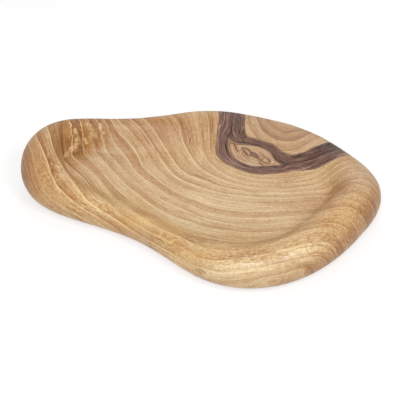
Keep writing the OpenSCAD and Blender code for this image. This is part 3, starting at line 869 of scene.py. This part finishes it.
def pale_wood():
    s = Shader(bpy.data.materials.new("pale_wood"))
    place, along, wide, figure = s.place(), s.field("along"), s.field("wide"), s.field("figure")
    calm, faint, rose = s.field("calm"), s.field("faint"), s.field("rose")

    # Rings, wavy everywhere and jagged where the wood is curly, and the pale line along each
    fine = s.ripple(place, 190.0, 3.0, 0.6)
    ring = s.plus(s.plus(s.field("ring"), s.ripple(place, 42.0), 0.22), fine, 0.07)
    zigzag = s.plus(ring, s.times(s.ripple(place, 300.0, 1.0, 0.5), figure), 0.45)
    table = s.ramp(s.math("DIVIDE", zigzag, LAST_RING), ring_table(RING_TONES, LAST_RING))
    table = s.node("ShaderNodeSeparateColor", {0: table}).outputs
    fade = s.span(s.grain(ring, along, 0.8, 0.06), -0.10, 0.12, 0.25, 1.0)
    fade = s.times(fade, s.span(rose, 0.1, 0.9, 1.0, 0.2))
    fade = s.times(fade, s.span(faint, 0.0, 1.0, 1.0, 0.2, False))
    to_line = s.times(s.math("PINGPONG", zigzag, 0.5), wide)
    line = s.times(s.times(s.span(to_line, 0.45, 0.08), table[1]), fade)

    # Small rings between them, each as strong as chance has it, and weak where the wood is calm
    lively = s.span(calm, 0.0, 1.0, 1.0, 0.2, False)
    small = s.plus(s.times(ring, 3.3), s.grain(ring, along, 0.9, 0.03), 0.8)
    luck = s.chance(small)
    small_tone = s.times(s.times(s.math("POWER", s.math("FRACT", small), 2.0), luck), lively)
    small_line = s.times(s.span(s.math("PINGPONG", small, 0.5), 0.11, 0.02), s.span(luck, 0.45, 1.0))
    small_line = s.times(small_line, lively)

    # Depth of brown from the rings, fibres, soft spots and speckles
    spread = s.span(wide, 6.0, 13.0)
    fibres, height = fine_structure(s, ring, along, spread, calm)
    tone = s.plus(s.blend(s.times(faint, 0.45), s.plus(-0.105, table[0], 1.25), 0.42), fibres)
    tone = s.plus(s.plus(tone, small_tone, 0.2), s.ripple(place, 800.0, 2.0, 0.6), 0.55)
    # Darker and lighter spots: wood tone together with painted shade and painted highlights
    tone = s.plus(tone, s.field("dark"))
    mottle = spread_grain(s, ring, along, spread, 15.0, 32.0, 0.5, 3.0)
    mottle = s.plus(mottle, s.ripple(place, 650.0, 3.0, 0.7), 0.6)
    tone = s.plus(tone, s.times(mottle, s.field("speckle")), 1.9)

    # Ribs of the curly wood
    upright = s.node("ShaderNodeVectorMath", {0: place, 1: (1.0, 1.0, 0.5)}, operation="MULTIPLY").outputs[0]
    rib = s.span(s.math("PINGPONG", s.times(zigzag, 1.5), 0.5), 0.04, 0.30)
    rib = s.times(s.span(s.ripple(upright, 300.0, 2.0, 0.6), -0.12, 0.20), rib)
    tone = s.plus(tone, s.times(s.math("SUBTRACT", 0.6, rib), figure), 0.42)

    # Colour, with pale lines, golden and rosy wood, the facets' painted glints, the band's border and the
    # dent's painted shade; the rosy tint also paints shade and sheen haze on the outer edges
    pale = s.math("MAXIMUM", line, s.times(s.times(small_line, fade), 0.65))
    colour = s.mix(pale, s.ramp(tone, PALE_COLOURS), CREAM)
    colour = s.mix(s.field("gold"), colour, GOLD_TINT, "MULTIPLY", clamp_factor=False)
    colour = s.mix(rose, colour, ROSE_TINT, "MULTIPLY")
    # Painted glints on the facets of the pocket's wall
    glint = s.span(s.ripple(place, 420.0, 4.0, 0.75), -0.18, 0.18, 0.1, 1.0)
    glint = s.times(s.span(s.field("gleam"), 0.15, 1.0), glint)
    colour = s.mix(s.times(glint, 0.9), colour, GLINT_COLOUR)
    colour = s.border(colour, BORDER, 0.85, 0.55, fine, 1.6)
    # Painted shade of the dent along its strokes
    colour = s.mix(s.span(s.field("mark"), 2.4, 0.4, 0.0, 0.55), colour, DENT_SHADE)
    rough = s.plus(s.plus(satin(s, fine, fibres), calm, -0.12), s.field("polish"), -0.22)
    return s.finish(colour, s.plus(rough, figure, 0.15), height, 0.25)


def heart_wood():
    s = Shader(bpy.data.materials.new("heart_wood"))
    place, across, along = s.place(), s.field("ring"), s.field("along")
    fine = s.ripple(place, 170.0, 3.0, 0.6)
    across = s.plus(s.plus(across, fine, 0.05), s.ripple(place, 50.0), 0.06)
    tone = s.depth(across, [(k / (len(HEART_TONES) - 1), v) for k, v in enumerate(HEART_TONES)])
    tone = s.plus(tone, s.grain(across, along, 12.0, 0.06, 4.0), 1.2)
    thread = s.grain(across, along, 30.0, 0.16, 3.0)
    tone = s.plus(tone, thread, 2.2)
    tone = s.plus(tone, s.field("dark"), 0.24)
    path = s.math("ABSOLUTE", s.grain(across, along, 9.0, 0.035, 2.0))
    shown = s.span(s.grain(across, along, 4.0, 0.05), -0.02, 0.10)
    tone = s.plus(tone, s.times(s.span(path, 0.022, 0.004), shown), -0.66)
    gap = s.math("ABSOLUTE", s.grain(across, along, 7.0, 0.03, 2.0))
    tone = s.plus(tone, s.span(gap, 0.016, 0.003), 0.22)
    colour = s.border(s.ramp(tone, HEART_COLOURS), HEART_BORDER, 0.7, 0.8, fine, 1.8)
    rough = s.plus(s.times(thread, 0.3), s.span(tone, 0.2, 0.9, 0.46, 0.38, False))
    return s.finish(colour, rough, s.plus(s.times(thread, 1.5), tone, -0.5), 0.22, 0.35)


def rear_wood():
    s = Shader(bpy.data.materials.new("rear_wood"))
    place, ring, along = s.place(), s.field("ring"), s.field("along")
    fine = s.ripple(place, 200.0, 3.0, 0.6)
    ring = s.plus(s.plus(ring, s.ripple(place, 55.0), 0.5), fine, 0.2)
    share = s.math("DIVIDE", ring, REAR_HALF_RINGS / 2)
    tone = s.depth(share, [(k / REAR_HALF_RINGS, v) for k, v in REAR_TONES])
    small = s.plus(s.times(ring, 3.0), s.grain(ring, along, 1.0, 0.08), 1.4)
    small_tone = s.times(s.math("POWER", s.math("FRACT", small), 2.0), s.chance(small))
    fibres, height = fine_structure(s, ring, along, 0.0)
    tone = s.plus(s.plus(tone, small_tone, 0.26), fibres)
    colour = s.border(s.ramp(tone, REAR_COLOURS), BORDER, 0.85, 0.55, fine, 1.6)
    return s.finish(colour, satin(s, fine, fibres), height, 0.25)


def eye_wood():
    s = Shader(bpy.data.materials.new("eye_wood"))
    place, ring, along, ends = s.place(), s.field("ring"), s.field("along"), s.field("dark")
    fine = s.ripple(place, 260.0, 3.0, 0.6)
    ring = s.plus(s.plus(ring, fine, 0.10), s.ripple(place, 90.0), 0.16)
    curl = s.grain(ring, along, 9.0, 0.10, 3.0)
    thread = s.grain(ring, along, 30.0, 0.3, 2.0)
    contour = s.times(ring, 6.5)
    line = s.span(s.math("PINGPONG", contour, 0.5), 0.20, 0.02)
    line = s.times(line, s.chance(s.math("ADD", contour, 0.5)))
    shown = s.span(ends, 0.0, 1.0, 0.25, 1.0)
    tone = s.plus(s.plus(s.times(curl, 1.8), thread, 1.0), ends, 0.12)
    tone = s.plus(s.plus(tone, s.times(line, shown), 0.60), ring, -0.12)
    colour = s.ramp(s.math("ADD", tone, 0.49), EYE_COLOURS)
    crack = s.plus(s.field("crack"), fine, 1.2)
    colour = s.mix(s.span(crack, 6.0, 0.8, 0.0, 0.5), colour, CRACK_SIDE)
    colour = s.mix(s.span(crack, 1.4, 0.4, 0.0, 0.95), colour, CRACK)
    colour = s.border(colour, BORDER, 0.8, 0.5, fine, 1.4)
    rough = s.plus(s.times(fine, 0.2), thread, 0.2)
    return s.finish(colour, s.math("ADD", rough, 0.45), s.plus(curl, thread, 0.6), 0.25)


def core_wood():
    s = Shader(bpy.data.materials.new("core_wood"))
    place, inside, along = s.place(), s.field("ring"), s.field("along")
    fine = s.ripple(place, 420.0, 3.0, 0.6)
    streak = s.grain(inside, along, 3.0, 0.5, 3.0)
    tone = s.plus(s.span(s.plus(inside, fine, 0.9), 0.0, 0.9), streak)
    return s.finish(s.ramp(tone, CORE_COLOURS), s.plus(0.46, fine, 0.2), streak, 0.25)


for piece, node, slot, material in (
        (body, "bowl_body", "pale_wood", pale_wood()), (band, "heartwood_band", "heartwood", heart_wood()),
        (wedge, "rear_rim_wood", "rear_wood", rear_wood()), (eye, "knot_eye", "eye_wood", eye_wood()),
        (core, "knot_core", "core_wood", core_wood())):
    piece.data.shade_smooth()
    piece.data.set_sharp_from_angle(angle=SHARP_ANGLE)
    piece.data.materials.clear()
    piece.data.materials.append(material)
    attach(piece, "root")
    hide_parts(node)


# Floor, light and camera, with lengths in metres. The floor is greyer and lifted to white where it is seen
FLOOR_HALF, FLOOR_DEPTH = 3.0, 0.0001
FLOOR_GREY, SEEN_GREY, SEEN_LIFT = 0.8, 0.4, 0.66
WORLD_LIGHT = 0.42
LAMP_REACH = 0.8


def seen(s):
    """1 for rays that show the background: straight from the camera, mirrored or through glass."""
    path = s.node("ShaderNodeLightPath").outputs
    either = s.math("MAXIMUM", path["Is Camera Ray"], path["Is Glossy Ray"])
    return s.math("MAXIMUM", either, path["Is Transmission Ray"])


def floor_white():
    s = Shader(bpy.data.materials.new("floor_white"))
    shown_share = seen(s)
    grey = s.span(shown_share, 0.0, 1.0, FLOOR_GREY, SEEN_GREY, False)
    plain = s.node("ShaderNodeBsdfDiffuse", {"Color": grey}).outputs[0]
    lift = s.node("ShaderNodeEmission", {"Strength": s.times(shown_share, SEEN_LIFT)}).outputs[0]
    both = s.node("ShaderNodeAddShader", {0: plain, 1: lift}).outputs[0]
    clear = s.node("ShaderNodeBsdfTransparent").outputs[0]
    under = s.node("ShaderNodeNewGeometry").outputs["Backfacing"]
    shown = s.node("ShaderNodeMixShader", {0: under, 1: both, 2: clear}).outputs[0]
    s.tree.links.new(shown, s.node("ShaderNodeOutputMaterial").inputs[0])
    return s.owner


floor_corners = [
    (x * FLOOR_HALF, y * FLOOR_HALF, -FLOOR_DEPTH) for x, y in ((-1, -1), (1, -1), (1, 1), (-1, 1))]
floor = mesh_object("floor", floor_corners, [(0, 1, 2, 3)])
floor.data.materials.append(floor_white())

studio = Shader(bpy.data.worlds.new("studio"))
bpy.context.scene.world = studio.owner
strength = studio.span(seen(studio), 0.0, 1.0, WORLD_LIGHT, 1.0, False)
background = studio.node("ShaderNodeBackground", {"Color": (1, 1, 1, 1), "Strength": strength})
studio.tree.links.new(background.outputs[0], studio.node("ShaderNodeOutputWorld").inputs[0])


def lamp(name, turn, height, share, size):
    """Round lamp aimed at the dish: turn from the front and height in degrees, share of light and size."""
    turn, height = math.radians(turn), math.radians(height)
    level = math.cos(height)
    light = bpy.data.lights.new(name, "AREA")
    light.shape, light.size, light.energy = "DISK", size, math.pi**2 * LAMP_REACH**2 * share
    obj = bpy.data.objects.new(name, light)
    bpy.context.scene.collection.objects.link(obj)
    obj.location = LAMP_REACH * Vector((math.sin(turn) * level, -math.cos(turn) * level, math.sin(height)))
    obj.rotation_euler = (-obj.location).to_track_quat("-Z", "Y").to_euler()


lamp("front_right", 43, 53, 0.27, 0.26)
lamp("front_left", 354, 55, 0.23, 0.26)
lamp("low_left", 330, 25, 0.15, 0.5)
lamp("back", 180, 50, 0.12, 0.5)

camera_data = bpy.data.cameras.new("camera")
camera_data.lens, camera_data.sensor_width = 120, 36
camera = bpy.data.objects.new("camera", camera_data)
bpy.context.scene.collection.objects.link(camera)
target, lift, reach = Vector((0.0005, 0, 0.008)), math.radians(43), 0.662
camera.location = target + reach * Vector((0, -math.cos(lift), math.sin(lift)))
camera.rotation_euler = (target - camera.location).to_track_quat("-Z", "Y").to_euler()
bpy.context.scene.camera = camera
bpy.context.scene.view_settings.view_transform = "Standard"
